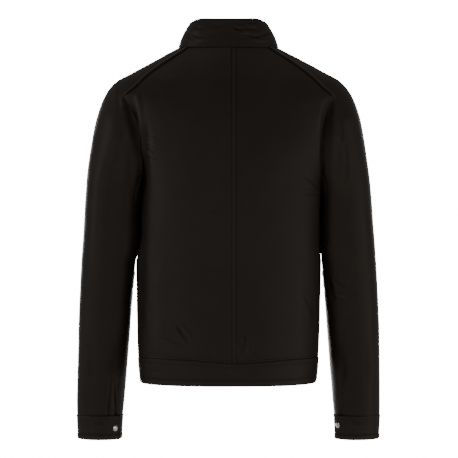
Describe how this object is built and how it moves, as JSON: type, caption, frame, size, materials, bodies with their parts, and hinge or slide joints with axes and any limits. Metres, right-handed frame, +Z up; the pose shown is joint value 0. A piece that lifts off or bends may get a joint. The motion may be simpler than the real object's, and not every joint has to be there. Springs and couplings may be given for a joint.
{
  "type": "leather jacket",
  "caption": "Black leather jacket with a stand collar, saddle shoulders, a waistband and snapped cuffs, hollow and filled out as if worn.",
  "frame": {"origin": "middle of the neck opening, at the height of the collar's seam behind, where the wearer's neck holds the jacket", "axes": "+X to the wearer's left, +Y out of the back, +Z up; the front faces -Y"},
  "size_m": [0.5824, 0.2701, 0.7955],
  "materials": {
    "leather": "soft grained black leather with a low sheen",
    "snap_metal": "polished metal",
    "zip_metal": "plain metal",
    "zip_tape": "black woven tape with black teeth"
  },
  "bodies": {
    "jacket": {"back_left": "leather", "back_right": "leather", "front_left": "leather", "front_right": "leather", "top_sleeve_left": "leather", "top_sleeve_right": "leather", "under_sleeve_left": "leather", "under_sleeve_right": "leather", "waistband": "leather", "collar": "leather", "cuff_left": "leather", "cuff_right": "leather", "snap_cap_left": "snap_metal", "snap_cap_right": "snap_metal", "zip_chain_and_tape": "zip_tape", "zip_slider": "zip_metal"},
    "pull_tab": {"zip_pull_tab": "zip_metal"}
  },
  "joints": [
    {"name": "pull_tab_swing", "type": "hinge", "parent": "jacket", "child": "pull_tab", "pos_m": [0, -0.07813, -0.02865], "axis": [-1, 0, 0], "range_deg": [0, 150]}
  ]
}
